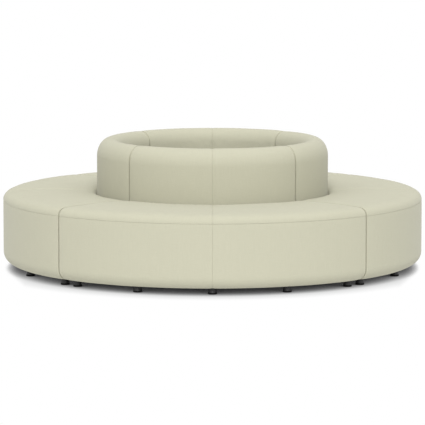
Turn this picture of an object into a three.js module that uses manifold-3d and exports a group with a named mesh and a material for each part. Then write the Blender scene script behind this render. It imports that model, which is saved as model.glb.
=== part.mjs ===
// Round sofa for a waiting room: four quarter-round modules stand in a ring, back to back round
// an open middle. Each module is a plywood box and backrest frame with foam and fabric over it,
// on black levelling glides that screw into its base board.
// Millimetres, +Z up. The origin is on the floor at the ring's centre, and the front faces -Y.
import * as THREE from 'three';
import { mergeVertices } from 'three/addons/utils/BufferGeometryUtils.js';
import Module from 'manifold-3d';

const wasm = await Module();
wasm.setup();

// Overall sizes
const MODULE_NAMES = ['front', 'right', 'back', 'left'];
const OUTER_DIAMETER = 2500;
const OVERALL_HEIGHT = 772;
const SEAT_HEIGHT = 464;
const SEAT_DEPTH = 560;
const BACK_THICKNESS = 154;
const FLOOR_CLEARANCE = 37;
const MODULE_GAP = 8;

// Upholstery: foam thicknesses, crown, rolled edges and seams
const SEAT_FOAM = 103;
const APRON_FOAM = 45;
const BACK_FRONT_FOAM = 35;
const BACK_REAR_FOAM = 25;
const BACK_TOP_FOAM = 50;
const SEAT_CROWN = 5;
const EDGE_ROLL = 56;
const EDGE_ROLL_DEPTH = 45;
const SEAM_TUCK = 3;
const TUCK_ROLL = 36;
const TUCK_DEPTH = 34;
const BOTTOM_EDGE_R = 68;
const REAR_EDGE_R = 18;
const END_EDGE_R = 5;
const SEWN_SEAM_DEPTH = 1.5;
const SEWN_SEAM_WIDTH = 8;

// Plywood frame, and the clearance between pieces that touch
const PLY = 18;
const BENT_PLY = 6;
const END_WRAP = 6;
const RIB_BORDER = 55;
const RIB_HOLE_R = 30;
const VENT_R = 14;
const FIT = 0.3;

// Levelling glides: a moulded foot on a threaded stem. The outer ones stand at these shares of the
// end ones' angle.
const FOOT_R = 26;
const FOOT_TOP_R = 22;
const FOOT_EDGE = 5;
const STEM_R = 5;
const STEM_LENGTH = 32;
const OUTER_GLIDE_SHARES = [-1, -0.512, 0, 0.512, 1];
const OUTER_GLIDE_SETBACK = 100;
const END_GLIDE_SETBACK = 53;

// Dust cover, and the plates that gang the modules together
const DUST_COVER = 1;
const GANG_SETBACK = 250;
const GANG_LENGTH = 140;
const GANG_WIDTH = 50;
const GANG_THICKNESS = 3;
const GANG_CORNER_R = 8;
const SCREW_INSET = 14;
const SCREW_HOLE_R = 2.5;

// How round things are drawn
const ARC_STEPS = 12;
const ROLL_STEPS = 4;
const CROWN_STEPS = 4;
const BACK_TOP_STEPS = 8;
const CORNER_STEPS = 2;
const TURNED_SIDES = 10;
const HOLE_SIDES = 8;

// A module's share of the circle is drawn as flat facets, the same ones at every radius. Halfway
// along a facet, its radius is facetShare of what it is at the corners.
const moduleAngle = (2 * Math.PI) / MODULE_NAMES.length;
const endStep = ARC_STEPS / 2;
const stepAngle = moduleAngle / ARC_STEPS;
const facetShare = Math.cos(stepAngle / 2);
const padSetback = MODULE_GAP / 2;
const frameSetback = padSetback + END_WRAP;

// Radii from the ring's centre
const outerR = OUTER_DIAMETER / 2;
const backFaceR = outerR - SEAT_DEPTH;
const wellR = backFaceR - BACK_THICKNESS;
const railR = outerR - APRON_FOAM;
const boardR = outerR - BOTTOM_EDGE_R;
const backFrameOutR = backFaceR - BACK_FRONT_FOAM;
const backFrameInR = wellR + BACK_REAR_FOAM;
const outerGlideR = outerR - OUTER_GLIDE_SETBACK;
const innerGlideR = (backFrameInR + backFrameOutR) / 2;

// Heights above the floor
const underZ = FLOOR_CLEARANCE;
const dustZ = underZ + FIT;
const boardZ = dustZ + DUST_COVER + FIT;
const boardTopZ = boardZ + PLY;
const frameZ = boardTopZ + FIT;
const railZ = underZ + BOTTOM_EDGE_R;
const deckTopZ = SEAT_HEIGHT - SEAT_FOAM;
const deckZ = deckTopZ - PLY;
const ribTopZ = deckZ - FIT;
const padZ = deckTopZ + FIT;
const seatEdgeZ = SEAT_HEIGHT - SEAT_CROWN;
const seamZ = seatEdgeZ - EDGE_ROLL_DEPTH - SEAM_TUCK;
const backTopR = BACK_THICKNESS / 2;
const backTopZ = OVERALL_HEIGHT - backTopR;
const backFrameTopZ = OVERALL_HEIGHT - BACK_TOP_FOAM;

const fabric = new THREE.MeshStandardMaterial({ color: 0xd6d3bb, roughness: 0.85, metalness: 0 });
const plywood = new THREE.MeshStandardMaterial({ color: 0xc9a877, roughness: 0.7, metalness: 0 });
const blackNylon = new THREE.MeshStandardMaterial({ color: 0x161616, roughness: 0.45, metalness: 0 });
const blackCambric = new THREE.MeshStandardMaterial({ color: 0x1c1c1c, roughness: 0.95, metalness: 0 });
const zincSteel = new THREE.MeshStandardMaterial({ color: 0x9a9c9e, roughness: 0.4, metalness: 0.9 });

// A point in plan, at an angle from a module's centre line, which runs from the middle to -Y.
function polar(radius, angle) {
  return new THREE.Vector2(radius * Math.sin(angle), -radius * Math.cos(angle));
}

// A point in plan on the facets: at facet corner k, or on a facet beside it at a distance square
// to that corner's radius. Every piece keeps to these facets, so nested pieces run parallel.
function facetPoint(radius, { k, beside = 0 }) {
  const corner = polar(radius, k * stepAngle);
  const next = polar(radius, (k + Math.sign(beside)) * stepAngle);
  return corner.lerp(next, Math.abs(beside) / (radius * Math.sin(stepAngle)));
}

// The facet corners between a module's two ends.
function cornersBetween() {
  const corners = [];
  for (let k = 1 - endStep; k < endStep; k++) {
    corners.push({ k });
  }
  return corners;
}

// Plan of a piece that runs round between two radii, with its ends square to the joints.
function sectorShape(innerRadius, outerRadius, setback) {
  const start = { k: -endStep, beside: setback };
  const end = { k: endStep, beside: -setback };
  const places = [start, ...cornersBetween(), end];
  const outerEdge = places.map((place) => facetPoint(outerRadius, place));
  const innerEdge = places.map((place) => facetPoint(innerRadius, place));
  return new THREE.Shape([...outerEdge, ...innerEdge.reverse()]);
}

function roundHole(centre, radius) {
  return new THREE.Path().absarc(centre.x, centre.y, radius, 0, 2 * Math.PI, true);
}

// Points of a rectangle with rounded corners.
function roundedRectangle(left, bottom, right, top, radius) {
  const centres = [
    [right - radius, top - radius],
    [left + radius, top - radius],
    [left + radius, bottom + radius],
    [right - radius, bottom + radius],
  ];
  const points = [];
  centres.forEach(([x, y], quarter) => {
    for (let step = 0; step <= CORNER_STEPS; step++) {
      const angle = (quarter + step / CORNER_STEPS) * (Math.PI / 2);
      points.push(new THREE.Vector2(x + radius * Math.cos(angle), y + radius * Math.sin(angle)));
    }
  });
  return points;
}

// A flat or upright piece: a plan, raised between two heights.
function raised(shape, bottomZ, topZ, holeSides = HOLE_SIDES) {
  const options = { depth: topZ - bottomZ, bevelEnabled: false, curveSegments: holeSides / 2 };
  return new THREE.ExtrudeGeometry(shape, options).translate(0, 0, bottomZ);
}

function solidOf(geometry) {
  const bare = geometry.clone();
  bare.deleteAttribute('normal');
  bare.deleteAttribute('uv');
  const merged = mergeVertices(bare);
  return new wasm.Manifold(
    new wasm.Mesh({
      numProp: 3,
      vertProperties: merged.attributes.position.array,
      triVerts: new Uint32Array(merged.index.array),
    }),
  );
}

// Parts glued into one piece. Each runs some way into the next.
function gluedUp(geometries) {
  const mesh = geometries
    .map(solidOf)
    .reduce((whole, part) => whole.add(part))
    .getMesh();
  const geometry = new THREE.BufferGeometry();
  geometry.setAttribute('position', new THREE.BufferAttribute(mesh.vertProperties, 3));
  geometry.setIndex(new THREE.BufferAttribute(mesh.triVerts, 1));
  geometry.computeVertexNormals();
  return geometry;
}

// Points of a rolled edge in radius and height: part of an ellipse round a centre.
function roll(centreR, centreZ, acrossR, upZ, fromAngle, toAngle, steps) {
  const points = [];
  for (let step = 0; step <= steps; step++) {
    const angle = fromAngle + ((toAngle - fromAngle) * step) / steps;
    points.push([centreR + acrossR * Math.cos(angle), centreZ + upZ * Math.sin(angle)]);
  }
  return points;
}

// Where an upholstered piece has its sections. At each end they draw in over a rounded edge, and
// at the module's middle they draw in along the sewn seam.
function paddedStations() {
  const endTurns = [0, Math.PI / 4, Math.PI / 2];
  const ends = endTurns.map((turn) => ({
    setback: padSetback + END_EDGE_R * (1 - Math.cos(turn)),
    inset: END_EDGE_R * (1 - Math.sin(turn)),
  }));
  const atSeam = [
    { k: 0, beside: -SEWN_SEAM_WIDTH / 2, inset: 0 },
    { k: 0, inset: SEWN_SEAM_DEPTH },
    { k: 0, beside: SEWN_SEAM_WIDTH / 2, inset: 0 },
  ];
  const between = cornersBetween().flatMap(({ k }) => (k === 0 ? atSeam : [{ k, inset: 0 }]));
  const nearEnd = ends.map(({ setback, inset }) => ({ k: -endStep, beside: setback, inset }));
  const farEnd = ends.map(({ setback, inset }) => ({ k: endStep, beside: -setback, inset }));
  return [...nearEnd, ...between, ...farEnd.reverse()];
}

// A padded piece: a closed section in radius and height, carried round a module. The section
// turns anticlockwise from its inner bottom corner.
function padded(sectionAt) {
  const stations = paddedStations();
  const sections = stations.map(({ inset }) => sectionAt(inset));
  const count = sections[0].length;
  const positions = [];
  stations.forEach((station, i) => {
    for (const [radius, height] of sections[i]) {
      const place = facetPoint(radius, station);
      positions.push(place.x, place.y, height);
    }
  });
  const indices = [];
  for (let i = 0; i + 1 < stations.length; i++) {
    for (let j = 0; j < count; j++) {
      const a = i * count + j;
      const b = i * count + ((j + 1) % count);
      indices.push(a, a + count, b);
      indices.push(b, a + count, b + count);
    }
  }
  const last = (stations.length - 1) * count;
  const outline = sections[0].map(([radius, height]) => new THREE.Vector2(radius, height));
  for (const [a, b, c] of THREE.ShapeUtils.triangulateShape(outline, [])) {
    indices.push(a, b, c);
    indices.push(last + a, last + c, last + b);
  }
  const geometry = new THREE.BufferGeometry();
  geometry.setAttribute('position', new THREE.Float32BufferAttribute(positions, 3));
  geometry.setIndex(indices);
  geometry.computeVertexNormals();
  return geometry;
}

// Seat cushion: foam on the deck, under a panel that is crowned across the seat, rolls over the
// front edge to the seam, and rolls down against the backrest.
function seatSection(inset) {
  const innerR = backFaceR + FIT;
  const lipZ = seamZ + SEAM_TUCK;
  const crownFromR = outerR - EDGE_ROLL;
  const crownToR = innerR + TUCK_ROLL;
  const frontRoll = [crownFromR, lipZ, EDGE_ROLL - inset, EDGE_ROLL_DEPTH - inset];
  const rearRoll = [crownToR, seatEdgeZ - TUCK_DEPTH, TUCK_ROLL - inset, TUCK_DEPTH - inset];
  const crown = [];
  for (let step = 1; step < CROWN_STEPS; step++) {
    const share = step / CROWN_STEPS;
    const rise = SEAT_CROWN * (1 - (2 * share - 1) ** 2);
    crown.push([crownFromR + (crownToR - crownFromR) * share, seatEdgeZ + rise - inset]);
  }
  return [
    [innerR, padZ],
    [railR, padZ],
    [railR, seamZ],
    [outerR - inset - SEAM_TUCK, seamZ],
    ...roll(...frontRoll, 0, Math.PI / 2, ROLL_STEPS),
    ...crown,
    ...roll(...rearRoll, Math.PI / 2, Math.PI, ROLL_STEPS - 1),
  ];
}

// Apron: foam round the outside of the box, from the seam down and rolled under the base board.
function apronSection(inset) {
  const topZ = seamZ - FIT;
  const bottomRoll = [boardR, railZ, BOTTOM_EDGE_R - inset, BOTTOM_EDGE_R - inset];
  return [
    ...roll(...bottomRoll, -Math.PI / 2, 0, ROLL_STEPS),
    [outerR - inset, topZ - SEAM_TUCK],
    [outerR - inset - SEAM_TUCK, topZ],
    [railR + FIT, topZ],
    [railR + FIT, railZ],
    [boardR, boardTopZ],
  ];
}

// Backrest: foam over both faces of the back frame under a fully round top, down to the deck in
// front and to the bottom edge behind.
function backSection(inset) {
  const topRoll = [wellR + backTopR, backTopZ, backTopR - inset, backTopR - inset];
  const edgeRoll = [wellR + REAR_EDGE_R, underZ + REAR_EDGE_R, REAR_EDGE_R - inset, REAR_EDGE_R - inset];
  return [
    [backFaceR - inset, padZ],
    ...roll(...topRoll, 0, Math.PI, BACK_TOP_STEPS),
    ...roll(...edgeRoll, Math.PI, 1.5 * Math.PI, CORNER_STEPS),
    [backFrameInR - FIT, underZ + inset],
    [backFrameInR - FIT, backFrameTopZ + FIT],
    [backFrameOutR + FIT, backFrameTopZ + FIT],
    [backFrameOutR + FIT, padZ],
  ];
}

// An upright plate that stands along a radius. Its outline is in radius and height, and its
// thickness lies between two offsets across the radius, towards a smaller angle.
function radialPlate(outline, angle, fromOffset, toOffset) {
  const along = new THREE.Vector3(Math.sin(angle), -Math.cos(angle), 0);
  const up = new THREE.Vector3(0, 0, 1);
  const across = new THREE.Vector3().crossVectors(along, up);
  const turn = new THREE.Matrix4().makeBasis(along, up, across);
  return raised(outline, fromOffset, toOffset).applyMatrix4(turn);
}

// Where the outer glides stand, with the end ones set back from the joints.
function glideAngles() {
  const endAngle = moduleAngle / 2 - Math.asin(END_GLIDE_SETBACK / outerGlideR);
  return OUTER_GLIDE_SHARES.map((share) => endAngle * share);
}

// Where the ribs and uprights stand: midway between the outer glides.
function ribAngles() {
  const angles = glideAngles();
  return angles.slice(1).map((angle, i) => (angle + angles[i]) / 2);
}

// A plate at each end of the frame, a hair inside it, and others centred on the rib angles.
function radialPlates(outline) {
  const endAngle = moduleAngle / 2;
  const endFace = frameSetback + FIT;
  return [
    radialPlate(outline, -endAngle, -endFace - PLY, -endFace),
    radialPlate(outline, endAngle, endFace, endFace + PLY),
    ...ribAngles().map((angle) => radialPlate(outline, angle, -PLY / 2, PLY / 2)),
  ];
}

// The glides' places in plan, by name. The inner one stands under the backrest.
function glidePlaces() {
  const outer = glideAngles().map((angle, i) => ({ name: `outer_${i + 1}`, at: polar(outerGlideR, angle) }));
  return [...outer, { name: 'inner', at: polar(innerGlideR, 0) }];
}

// Base board: plywood, bored for the glide stems.
function baseBoard() {
  const shape = sectorShape(backFrameInR, boardR - FIT, frameSetback);
  for (const { at } of glidePlaces()) {
    shape.holes.push(roundHole(at, STEM_R + FIT));
  }
  return raised(shape, boardZ, boardTopZ, TURNED_SIDES);
}

// Seat frame: plywood ribs with a lightening hole, glued into a bent plywood front rail. Below
// the rail their front ends slope back to the base board's edge.
function seatFrame() {
  const innerR = backFrameOutR + FIT;
  const toeR = boardR * facetShare - FIT;
  const frontR = (railR - BENT_PLY + railR * facetShare) / 2;
  const rib = new THREE.Shape([
    new THREE.Vector2(innerR, frameZ),
    new THREE.Vector2(toeR, frameZ),
    new THREE.Vector2(frontR, railZ),
    new THREE.Vector2(frontR, ribTopZ),
    new THREE.Vector2(innerR, ribTopZ),
  ]);
  const hole = roundedRectangle(
    innerR + RIB_BORDER,
    frameZ + RIB_BORDER,
    frontR - RIB_BORDER,
    ribTopZ - RIB_BORDER,
    RIB_HOLE_R,
  );
  rib.holes.push(new THREE.Path(hole));
  const rail = sectorShape(railR - BENT_PLY, railR, frameSetback);
  return gluedUp([raised(rail, railZ, ribTopZ), ...radialPlates(rib)]);
}

// Seat deck: plywood, with a vent hole over each bay that lets the foam breathe.
function seatDeck() {
  const shape = sectorShape(backFrameOutR + FIT, railR, frameSetback);
  const ribs = [-moduleAngle / 2, ...ribAngles(), moduleAngle / 2];
  for (let bay = 0; bay + 1 < ribs.length; bay++) {
    const angle = (ribs[bay] + ribs[bay + 1]) / 2;
    shape.holes.push(roundHole(polar((backFaceR + railR) / 2, angle), VENT_R));
  }
  return raised(shape, deckZ, deckTopZ);
}

// Back frame: bent plywood skins, glued to plywood uprights and a top cap, and open at the foot.
function backFrame() {
  const capZ = backFrameTopZ - PLY;
  const frontSkinR = (backFrameOutR - BENT_PLY + backFrameOutR * facetShare) / 2;
  const rearSkinR = (backFrameInR + (backFrameInR + BENT_PLY) * facetShare) / 2;
  const upright = new THREE.Shape([
    new THREE.Vector2(rearSkinR, frameZ),
    new THREE.Vector2(frontSkinR, frameZ),
    new THREE.Vector2(frontSkinR, capZ + PLY / 2),
    new THREE.Vector2(rearSkinR, capZ + PLY / 2),
  ]);
  const rearSkin = sectorShape(backFrameInR, backFrameInR + BENT_PLY, frameSetback);
  const frontSkin = sectorShape(backFrameOutR - BENT_PLY, backFrameOutR, frameSetback);
  const cap = sectorShape(rearSkinR, frontSkinR, frameSetback);
  return gluedUp([
    raised(rearSkin, frameZ, backFrameTopZ),
    raised(frontSkin, frameZ, backFrameTopZ),
    raised(cap, capZ, backFrameTopZ),
    ...radialPlates(upright),
  ]);
}

// Dust cover: black cambric stapled under the base board, pierced by the glide stems.
function dustCover() {
  const shape = sectorShape(backFrameInR, boardR - FIT, frameSetback);
  for (const { at } of glidePlaces()) {
    shape.holes.push(roundHole(at, STEM_R + 2 * FIT));
  }
  return raised(shape, dustZ, dustZ + DUST_COVER);
}

// Levelling glide, turned about its own axis, with the foot's face on the floor.
function glide() {
  const profile = [
    new THREE.Vector2(0, 0),
    new THREE.Vector2(FOOT_R - FOOT_EDGE, 0),
    new THREE.Vector2(FOOT_R, FOOT_EDGE),
    new THREE.Vector2(FOOT_TOP_R, underZ),
    new THREE.Vector2(STEM_R, underZ),
    new THREE.Vector2(STEM_R, underZ + STEM_LENGTH),
    new THREE.Vector2(0, underZ + STEM_LENGTH),
  ];
  return new THREE.LatheGeometry(profile, TURNED_SIDES).rotateX(Math.PI / 2).rotateZ(Math.PI / 2);
}

// Ganging plate: flat steel under two neighbouring base boards, with four screw holes.
function gangPlate() {
  const halfLength = GANG_LENGTH / 2;
  const halfWidth = GANG_WIDTH / 2;
  const shape = new THREE.Shape(
    roundedRectangle(-halfLength, -halfWidth, halfLength, halfWidth, GANG_CORNER_R),
  );
  for (const endSide of [-1, 1]) {
    for (const edgeSide of [-1, 1]) {
      const x = endSide * (halfLength - SCREW_INSET);
      const y = edgeSide * (halfWidth - SCREW_INSET);
      shape.holes.push(roundHole(new THREE.Vector2(x, y), SCREW_HOLE_R));
    }
  }
  return raised(shape, underZ - GANG_THICKNESS, underZ);
}

function named(name, geometry, material) {
  const mesh = new THREE.Mesh(geometry, material);
  mesh.name = name;
  return mesh;
}

const moduleParts = [
  ['seat_cushion', padded(seatSection), fabric],
  ['apron_upholstery', padded(apronSection), fabric],
  ['backrest_upholstery', padded(backSection), fabric],
  ['base_board', baseBoard(), plywood],
  ['seat_frame', seatFrame(), plywood],
  ['seat_deck', seatDeck(), plywood],
  ['back_frame', backFrame(), plywood],
  ['dust_cover', dustCover(), blackCambric],
];
const glideGeometry = glide();
const gangPlateGeometry = gangPlate();

const sofa = new THREE.Group();
MODULE_NAMES.forEach((side, i) => {
  const module = new THREE.Group();
  module.rotation.z = i * moduleAngle;
  for (const [name, geometry, material] of moduleParts) {
    module.add(named(`${side}_${name}`, geometry, material));
  }
  for (const { name, at } of glidePlaces()) {
    const foot = named(`${side}_glide_${name}`, glideGeometry, blackNylon);
    foot.position.set(at.x, at.y, 0);
    module.add(foot);
  }
  sofa.add(module);

  // The ganging plate lies across the joint with the next module round.
  const jointAngle = (i + 1 / 2) * moduleAngle;
  const plateAt = polar(outerR - GANG_SETBACK, jointAngle);
  const next = MODULE_NAMES[(i + 1) % MODULE_NAMES.length];
  const plate = named(`${side}_to_${next}_gang_plate`, gangPlateGeometry, zincSteel);
  plate.position.set(plateAt.x, plateAt.y, 0);
  plate.rotation.z = jointAngle;
  sofa.add(plate);
});

export default sofa;
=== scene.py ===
# Round sofa for a waiting room: four quarter-round modules stand in a ring round an open middle.
# Each is foam and fabric over a plywood box and backrest frame, on black levelling glides.
# Metres, +Z up. The origin is on the floor at the ring's middle, and the front faces -Y.
import math

import bmesh
import bpy
import numpy as np
from mathutils.geometry import delaunay_2d_cdt
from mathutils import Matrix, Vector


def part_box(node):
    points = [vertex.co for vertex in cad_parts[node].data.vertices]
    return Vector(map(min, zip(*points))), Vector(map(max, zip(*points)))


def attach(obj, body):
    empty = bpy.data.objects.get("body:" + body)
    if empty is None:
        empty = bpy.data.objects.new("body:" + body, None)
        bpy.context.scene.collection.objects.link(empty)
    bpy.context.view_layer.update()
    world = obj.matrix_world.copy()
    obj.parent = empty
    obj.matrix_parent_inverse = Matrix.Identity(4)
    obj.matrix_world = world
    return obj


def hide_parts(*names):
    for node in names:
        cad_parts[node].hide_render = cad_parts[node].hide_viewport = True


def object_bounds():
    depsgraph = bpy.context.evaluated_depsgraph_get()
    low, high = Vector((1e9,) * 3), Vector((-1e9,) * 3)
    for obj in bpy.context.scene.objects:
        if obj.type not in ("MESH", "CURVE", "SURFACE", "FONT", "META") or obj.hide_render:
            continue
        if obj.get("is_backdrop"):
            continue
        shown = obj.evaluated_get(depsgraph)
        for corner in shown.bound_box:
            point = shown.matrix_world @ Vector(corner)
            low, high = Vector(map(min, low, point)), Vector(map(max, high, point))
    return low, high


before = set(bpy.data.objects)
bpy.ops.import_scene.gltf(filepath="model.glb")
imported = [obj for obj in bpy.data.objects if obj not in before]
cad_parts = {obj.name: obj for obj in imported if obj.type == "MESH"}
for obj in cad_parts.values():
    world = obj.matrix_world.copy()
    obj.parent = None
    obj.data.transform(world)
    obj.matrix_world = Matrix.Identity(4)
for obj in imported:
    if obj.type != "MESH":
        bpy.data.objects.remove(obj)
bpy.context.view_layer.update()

# Stage: the camera stands well back and a little above the sofa, as for a catalogue picture. A very
# broad light shines from above and a narrower one from the front. The white floor lights the walls
# and feet from outside the sofa, and shows a shadow that follows what stands near.
CAMERA_PLACE = (0.0, -19.930, 2.788)
CAMERA_TILT = math.radians(7.05)
CAMERA_LENS = 284.07
CAMERA_SENSOR = 36.0
DOME_LEVEL = 0.54
TOP_LIGHT = 1.51
TOP_LIGHT_SPREAD = math.radians(110)
FRONT_LIGHT = 2.32
FRONT_LIGHT_HEIGHT = math.radians(38)
FRONT_LIGHT_SPREAD = math.radians(25)
FLOOR_HALF = 14.0
FLOOR_LIGHT = 0.58
FLOOR_LIGHT_UNDER = 0.12
FLOOR_LIGHT_EDGE = (1.02, 1.18)
FLOOR_COLOUR = 0.45
SHADOW_REACH = 0.40
SHADOW_SIDES = (1.08, 1.23)
SHADOW_GAIN = (1.32, 2.14)
SHADOW_POWER = (0.80, 2.0)
SHADOW_SAMPLES = 32


def add_node(tree, kind, inputs=None, **settings):
    """A node with its settings and inputs. A socket given as an input is linked, a value is set."""
    node = tree.nodes.new(kind)
    for name, value in settings.items():
        setattr(node, name, value)
    for name, value in (inputs or {}).items():
        if isinstance(value, bpy.types.NodeSocket):
            tree.links.new(value, node.inputs[name])
        else:
            node.inputs[name].default_value = value
    return node


def calculate(tree, operation, *values):
    """What a Math node makes of its values."""
    node = add_node(tree, "ShaderNodeMath", dict(enumerate(values)), operation=operation)
    return node.outputs[0]


def seen_directly(tree):
    """1 for rays from the camera or by way of gloss or glass, and 0 for rays that carry light."""
    path = add_node(tree, "ShaderNodeLightPath").outputs
    gloss_or_glass = calculate(tree, "MAXIMUM", path["Is Glossy Ray"], path["Is Transmission Ray"])
    return calculate(tree, "MAXIMUM", path["Is Camera Ray"], gloss_or_glass)


def between(tree, share, start, stop, over=(0.0, 1.0)):
    """A value that goes from start to stop as share goes over its range."""
    inputs = dict(enumerate([share, *over, start, stop]))
    return add_node(tree, "ShaderNodeMapRange", inputs).outputs[0]


def object_place(tree):
    return add_node(tree, "ShaderNodeTexCoord").outputs["Object"]


def part_of(tree, place, axis):
    return add_node(tree, "ShaderNodeSeparateXYZ", {0: place}).outputs[axis]


def length_of(tree, place):
    return add_node(tree, "ShaderNodeVectorMath", {0: place}, operation="LENGTH").outputs["Value"]


def new_finish(name):
    """A material with an empty tree."""
    material = bpy.data.materials.new(name)
    material.use_nodes = True
    material.node_tree.nodes.clear()
    return material, material.node_tree


def set_surface(tree, shader):
    add_node(tree, "ShaderNodeOutputMaterial", {"Surface": shader.outputs[0]})


def new_piece(name, points, faces):
    """An object whose mesh has these points and faces."""
    mesh = bpy.data.meshes.new(name)
    mesh.from_pydata(np.asarray(points).tolist(), [], faces)
    piece = bpy.data.objects.new(name, mesh)
    bpy.context.scene.collection.objects.link(piece)
    return piece


camera = bpy.data.objects.new("camera", bpy.data.cameras.new("camera"))
camera.location = CAMERA_PLACE
camera.rotation_euler = (math.radians(90) - CAMERA_TILT, 0, 0)
camera.data.sensor_width = CAMERA_SENSOR
camera.data.lens = CAMERA_LENS
bpy.context.scene.collection.objects.link(camera)
bpy.context.scene.camera = camera
bpy.context.scene.view_settings.view_transform = "Standard"

for name, energy, spread, height in [
    ("top_light", TOP_LIGHT, TOP_LIGHT_SPREAD, math.radians(90)),
    ("front_light", FRONT_LIGHT, FRONT_LIGHT_SPREAD, FRONT_LIGHT_HEIGHT),
]:
    light = bpy.data.objects.new(name, bpy.data.lights.new(name, "SUN"))
    light.data.energy = energy
    light.data.angle = spread
    light.rotation_euler = (math.radians(90) - height, 0, 0)
    bpy.context.scene.collection.objects.link(light)

world = bpy.data.worlds.new("dome")
world.use_nodes = True
world.node_tree.nodes.clear()
bpy.context.scene.world = world
dome_strength = between(world.node_tree, seen_directly(world.node_tree), DOME_LEVEL, 1.0)
dome = add_node(world.node_tree, "ShaderNodeBackground", {"Color": (1, 1, 1, 1), "Strength": dome_strength})
add_node(world.node_tree, "ShaderNodeOutputWorld", {"Surface": dome.outputs[0]})

floor_finish, tree = new_finish("floor")
shown = seen_directly(tree)
place = object_place(tree)
sideways = calculate(tree, "ABSOLUTE", part_of(tree, place, "X"))
side = between(tree, sideways, 0.0, 1.0, over=SHADOW_SIDES)
near = {"Distance": SHADOW_REACH}
openness = add_node(tree, "ShaderNodeAmbientOcclusion", near, samples=SHADOW_SAMPLES).outputs["AO"]
openness = calculate(tree, "MULTIPLY", openness, between(tree, side, *SHADOW_GAIN))
openness = calculate(tree, "POWER", openness, between(tree, side, *SHADOW_POWER))
shade_level = calculate(tree, "MINIMUM", openness, 1.0)
from_middle = length_of(tree, place)
light_level = between(tree, from_middle, FLOOR_LIGHT_UNDER, FLOOR_LIGHT, over=FLOOR_LIGHT_EDGE)
matt = add_node(tree, "ShaderNodeBsdfDiffuse", {"Color": between(tree, shown, FLOOR_COLOUR, 0.0)})
lit = add_node(tree, "ShaderNodeEmission", {"Strength": between(tree, shown, light_level, shade_level)})
set_surface(tree, add_node(tree, "ShaderNodeAddShader", {0: matt.outputs[0], 1: lit.outputs[0]}))
floor_corners = [(x * FLOOR_HALF, y * FLOOR_HALF, 0) for x, y in [(-1, -1), (1, -1), (1, 1), (-1, 1)]]
floor = new_piece("floor", floor_corners, [(0, 1, 2, 3)])
floor.data.materials.append(floor_finish)
floor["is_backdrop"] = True

# Base boards: 18 mm birch plywood, cut to the module's plan and bored for the glides. Everything
# else in a module is screwed and glued to its board. The grain runs one way over all four.
MODULES = ("front", "right", "back", "left")
PLY_LIGHT = (0.62, 0.46, 0.29, 1)
PLY_DARK = (0.44, 0.29, 0.15, 1)
PLY_GRAIN = (3.0, 70.0, 70.0)
PLY_GRAIN_DETAIL = 8.0
PLY_GRAIN_SHARE = 0.7
PLY_FIGURE = (1.5, 9.0, 9.0)
PLY_FIGURE_SHARE = 0.3
PLY_LAYER = 0.0018
PLY_LAYER_SHADE = 0.72
PLY_RELIEF = (0.4, 0.0002)
PLY_ROUGHNESS = (0.55, 0.75)
LEVEL_FACE = 0.5


def stretched(tree, vector, scale):
    """Coordinates with another scale each way."""
    return add_node(tree, "ShaderNodeMapping", {"Vector": vector, "Scale": scale}).outputs["Vector"]


def mottle(tree, vector, scale, detail=3.0):
    """A noise from 0 to 1."""
    inputs = {"Vector": vector, "Scale": scale, "Detail": detail}
    return add_node(tree, "ShaderNodeTexNoise", inputs).outputs["Fac"]


def mixed(tree, factor, first, second, way="MIX"):
    """A colour between two others."""
    inputs = {0: factor, 6: first, 7: second}
    return add_node(tree, "ShaderNodeMix", inputs, data_type="RGBA", blend_type=way).outputs[2]


def end_finish(tree, colour, roughness, grain=None, relief=(0.0, 0.0), others=None):
    """Ends a finish with its colour and roughness. Its grain stands out by the relief's strength
    and depth."""
    inputs = {"Base Color": colour, "Roughness": roughness} | (others or {})
    if grain is not None:
        bump = {"Strength": relief[0], "Distance": relief[1], "Height": grain}
        inputs["Normal"] = add_node(tree, "ShaderNodeBump", bump).outputs[0]
    set_surface(tree, add_node(tree, "ShaderNodeBsdfPrincipled", inputs))


def plywood_finish(name, layered_by):
    """Rotary-cut veneer on the faces and glue lines on the edges. layered_by gives the distance
    through the layers, and whether the surface is an edge."""
    material, tree = new_finish(name)
    place = object_place(tree)
    grain = mottle(tree, stretched(tree, place, PLY_GRAIN), 1.0, PLY_GRAIN_DETAIL)
    figure = mottle(tree, stretched(tree, place, PLY_FIGURE), 1.0)
    veneer = mixed(tree, calculate(tree, "MULTIPLY", grain, PLY_GRAIN_SHARE), PLY_LIGHT, PLY_DARK)
    veneer = mixed(tree, calculate(tree, "MULTIPLY", figure, PLY_FIGURE_SHARE), veneer, PLY_DARK)
    through, edge = layered_by(tree, place)
    layer = calculate(tree, "PINGPONG", through, PLY_LAYER)
    dark_layer = calculate(tree, "GREATER_THAN", layer, PLY_LAYER / 2)
    shade = between(tree, calculate(tree, "MULTIPLY", dark_layer, edge), 1.0, PLY_LAYER_SHADE)
    colour = mixed(tree, 1.0, veneer, shade, "MULTIPLY")
    end_finish(tree, colour, between(tree, grain, *PLY_ROUGHNESS), grain, PLY_RELIEF)
    return material


def facing_up_or_down(tree):
    """How far a face looks up or down, from 0 to 1."""
    normal = add_node(tree, "ShaderNodeNewGeometry").outputs["Normal"]
    return calculate(tree, "ABSOLUTE", part_of(tree, normal, "Z"))


def board_layers(tree, place):
    """A flat board's layers lie one over another, and show where it faces sideways."""
    edge = calculate(tree, "LESS_THAN", facing_up_or_down(tree), LEVEL_FACE)
    return part_of(tree, place, "Z"), edge


board_plywood = plywood_finish("board_plywood", board_layers)


def refinish(node, material):
    """Gives a CAD node a better material."""
    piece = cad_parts[node]
    piece.data.materials.clear()
    piece.data.materials.append(material)


for side in MODULES:
    refinish(f"{side}_base_board", board_plywood)

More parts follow.
